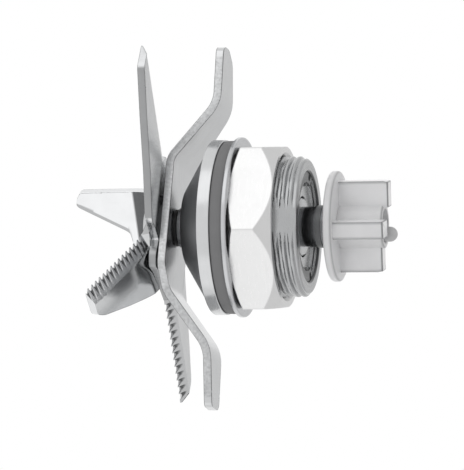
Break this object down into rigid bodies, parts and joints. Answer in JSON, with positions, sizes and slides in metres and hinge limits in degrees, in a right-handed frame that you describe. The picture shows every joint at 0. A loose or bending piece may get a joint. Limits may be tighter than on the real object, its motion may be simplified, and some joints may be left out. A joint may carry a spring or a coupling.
{
  "type": "blender blade assembly",
  "caption": "Blade unit for a blender jar: bent and serrated steel blades on a bearing-mounted shaft, with a threaded housing, gasket, washer, nut and drive coupling.",
  "frame": {"origin": "on the shaft's axis, in the plane of the flange's underside", "axes": "+Z along the shaft towards the blades; +X towards the flat blade arm's side; right-handed"},
  "size_m": [0.0728, 0.0498, 0.0694],
  "materials": {
    "turned_steel": "turned and polished stainless steel",
    "nut_steel": "machined, bright",
    "washer_steel": "stamped",
    "blade_steel": "ground stainless sheet",
    "bearing_steel": "ground",
    "shaft_steel": "ground and polished",
    "spring_steel": "phosphated",
    "grey_rubber": "matte",
    "black_rubber": "matte",
    "cage_steel": "pressed",
    "coupling_plastic": "moulded, satin",
    "shoulder_plastic": "moulded"
  },
  "bodies": {
    "housing": {"bearing_housing": "turned_steel", "jar_gasket": "grey_rubber", "retaining_ring": "spring_steel", "shaft_seal": "black_rubber", "lower_outer_race": "bearing_steel", "lower_shields": "bearing_steel", "upper_outer_race": "bearing_steel", "upper_shields": "bearing_steel", "outer_spacer": "washer_steel"},
    "washer": {"jar_washer": "washer_steel"},
    "nut": {"jar_nut": "nut_steel"},
    "rotor": {"drive_shaft": "shaft_steel", "shoulder_washer": "shoulder_plastic", "shaft_ring": "spring_steel", "lower_blade": "blade_steel", "blade_spacer": "spring_steel", "middle_blade": "blade_steel", "upper_blade": "blade_steel", "blade_screw": "bearing_steel", "drive_coupling": "coupling_plastic", "coupling_pin": "coupling_plastic", "lower_inner_race": "bearing_steel", "upper_inner_race": "bearing_steel", "inner_spacer": "washer_steel"},
    "lower_train": {"lower_balls": "bearing_steel", "lower_cage": "cage_steel"},
    "upper_train": {"upper_balls": "bearing_steel", "upper_cage": "cage_steel"}
  },
  "joints": [
    {"name": "rotor_spin", "type": "hinge", "parent": "housing", "child": "rotor", "pos_m": [0, 0, 0], "axis": [0, 0, 1], "continuous": true},
    {"name": "lower_train_spin", "type": "hinge", "parent": "housing", "child": "lower_train", "pos_m": [0, 0, -0.012], "axis": [0, 0, 1], "continuous": true},
    {"name": "upper_train_spin", "type": "hinge", "parent": "housing", "child": "upper_train", "pos_m": [0, 0, -0.003], "axis": [0, 0, 1], "continuous": true},
    {"name": "washer_slide", "type": "slide", "parent": "housing", "child": "washer", "axis": [0, 0, -1], "range_m": [0, 0.0132]},
    {"name": "nut_turn", "type": "hinge", "parent": "washer", "child": "nut", "pos_m": [0, 0, -0.0078], "axis": [0, 0, -1], "range_deg": [0, 3144]}
  ],
  "couplings": [
    {"joint": "lower_train_spin", "follows": "rotor_spin", "ratio": 0.36814},
    {"joint": "upper_train_spin", "follows": "rotor_spin", "ratio": 0.36814},
    {"joint": "washer_slide", "follows": "nut_turn", "m_per_rad": 0.00023873}
  ]
}
